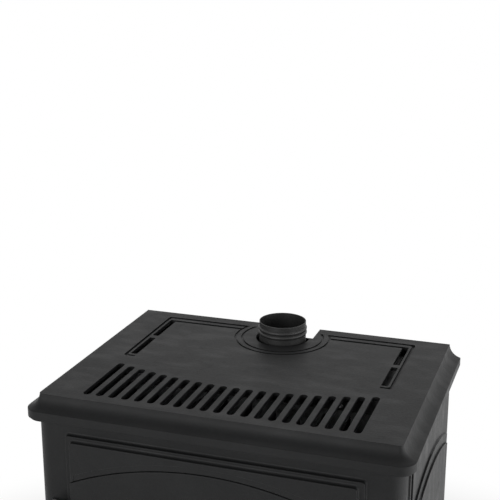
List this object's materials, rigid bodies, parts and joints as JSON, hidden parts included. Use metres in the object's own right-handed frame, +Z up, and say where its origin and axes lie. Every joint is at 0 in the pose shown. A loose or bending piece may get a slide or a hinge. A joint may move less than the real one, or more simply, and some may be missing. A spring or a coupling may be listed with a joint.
{
  "type": "pellet stove",
  "caption": "Free-standing pellet stove with a cast casing, arched glass door, ash drawer, top flue spigot and a slotted top that slides forward over the hopper.",
  "frame": {"origin": "on the floor under the middle of the stove's outer box", "axes": "+X to the stove's left-hand side as it looks out, that is to the right seen from the front, +Y to the back, +Z up; the door faces -Y"},
  "size_m": [0.5944, 0.4862, 0.8305],
  "materials": {
    "cast_top": "matte charcoal stove paint on cast iron",
    "cast_casing": "matte charcoal stove paint on cast iron",
    "cast_fire": "bare dark cast iron",
    "black_steel": "satin black steel",
    "fire_steel": "matte black heat-proof paint on steel",
    "zinc_sheet": "zinc-coated sheet",
    "bright_steel": "machined steel",
    "motor_metal": "painted motor case",
    "alloy": "bare aluminium",
    "glass": "clear heat-proof glass ceramic",
    "rope": "grey glass-fibre rope",
    "gasket": "flat glass-fibre tape",
    "black_plastic": "black plastic",
    "display": "dark display window",
    "button": "grey plastic",
    "grip": "black heat-proof plastic",
    "screw": "blackened steel"
  },
  "bodies": {
    "stove": {"top_rails": "zinc_sheet", "base_plate": "cast_casing", "levelling_feet": "bright_steel", "front_facade": "cast_casing", "side_panel_left": "cast_casing", "side_panel_right": "cast_casing", "rear_panel": "black_steel", "top_deck": "black_steel", "casing_screws": "screw", "hinge_brackets": "black_steel", "hinge_pins": "black_steel", "latch_keeper": "bright_steel", "ash_drawer_runners": "fire_steel", "firebox": "fire_steel", "fireback": "cast_fire", "baffle_plate": "cast_fire", "heat_exchanger_fins": "fire_steel", "air_duct": "zinc_sheet", "hot_air_hood": "zinc_sheet", "burn_pot_holder": "fire_steel", "igniter": "bright_steel", "flue_collar": "black_steel", "flue_riser": "zinc_sheet", "exhaust_fan_housing": "alloy", "exhaust_fan_motor": "motor_metal", "smoke_box": "fire_steel", "hopper": "zinc_sheet", "hopper_guard": "bright_steel", "auger_tube": "fire_steel", "auger_motor": "motor_metal", "drop_chute": "fire_steel", "room_blower_housing": "zinc_sheet", "room_blower_motor": "motor_metal", "air_intake_pipe": "zinc_sheet", "control_box": "black_plastic", "pressure_switch": "black_plastic", "control_panel": "black_plastic", "control_display": "display", "power_inlet": "black_plastic"},
    "top_cover": {"top_plate": "cast_top", "top_runners": "bright_steel"},
    "door": {"fire_door": "cast_casing", "door_glass": "glass", "glass_seal": "gasket", "door_seal": "rope", "glass_clips": "bright_steel"},
    "handle": {"door_handle": "black_steel", "handle_grip": "grip", "latch_cam": "bright_steel"},
    "ash_drawer": {"ash_drawer_front": "cast_casing", "ash_pan": "zinc_sheet", "ash_drawer_knob": "black_steel"},
    "burn_cup": {"burn_pot": "cast_fire"},
    "auger": {"auger_screw": "bright_steel"},
    "impeller": {"exhaust_impeller": "bright_steel"},
    "blower_wheel": {"room_blower_wheel": "alloy"},
    "rocker": {"power_rocker": "black_plastic"},
    "button_power_body": {"button_power": "button"},
    "button_down_body": {"button_down": "button"},
    "button_up_body": {"button_up": "button"}
  },
  "joints": [
    {"name": "top_slide", "type": "slide", "parent": "stove", "child": "top_cover", "axis": [0, -1, 0], "range_m": [0, 0.2]},
    {"name": "door_hinge", "type": "hinge", "parent": "stove", "child": "door", "pos_m": [-0.239, -0.20308, 0.46575], "axis": [0, 0, -1], "range_deg": [0, 115]},
    {"name": "handle_turn", "type": "hinge", "parent": "door", "child": "handle", "pos_m": [0.183, -0.19708, 0.45], "axis": [0, 1, 0], "range_deg": [0, 80]},
    {"name": "ash_drawer_slide", "type": "slide", "parent": "stove", "child": "ash_drawer", "axis": [0, -1, 0], "range_m": [0, 0.17]},
    {"name": "burn_pot_lift", "type": "slide", "parent": "stove", "child": "burn_cup", "axis": [0, 0, 1], "range_m": [0, 0.08]},
    {"name": "auger_turn", "type": "hinge", "parent": "stove", "child": "auger", "pos_m": [-0.178, 0.06172, 0.38], "axis": [0.891, 0, 0.454], "continuous": true},
    {"name": "impeller_turn", "type": "hinge", "parent": "stove", "child": "impeller", "pos_m": [0, 0.11572, 0.262], "axis": [1, 0, 0], "continuous": true},
    {"name": "blower_turn", "type": "hinge", "parent": "stove", "child": "blower_wheel", "pos_m": [0, 0.04927, 0.118], "axis": [1, 0, 0], "continuous": true},
    {"name": "rocker_tilt", "type": "hinge", "parent": "stove", "child": "rocker", "pos_m": [0.2305, 0.21207, 0.096], "axis": [1, 0, 0], "range_deg": [0, 20]},
    {"name": "button_power_press", "type": "slide", "parent": "stove", "child": "button_power_body", "axis": [0, 0, -1], "range_m": [0, 0.0015], "stiffness_N_per_m": 400},
    {"name": "button_down_press", "type": "slide", "parent": "stove", "child": "button_down_body", "axis": [0, 0, -1], "range_m": [0, 0.0015], "stiffness_N_per_m": 400},
    {"name": "button_up_press", "type": "slide", "parent": "stove", "child": "button_up_body", "axis": [0, 0, -1], "range_m": [0, 0.0015], "stiffness_N_per_m": 400}
  ]
}
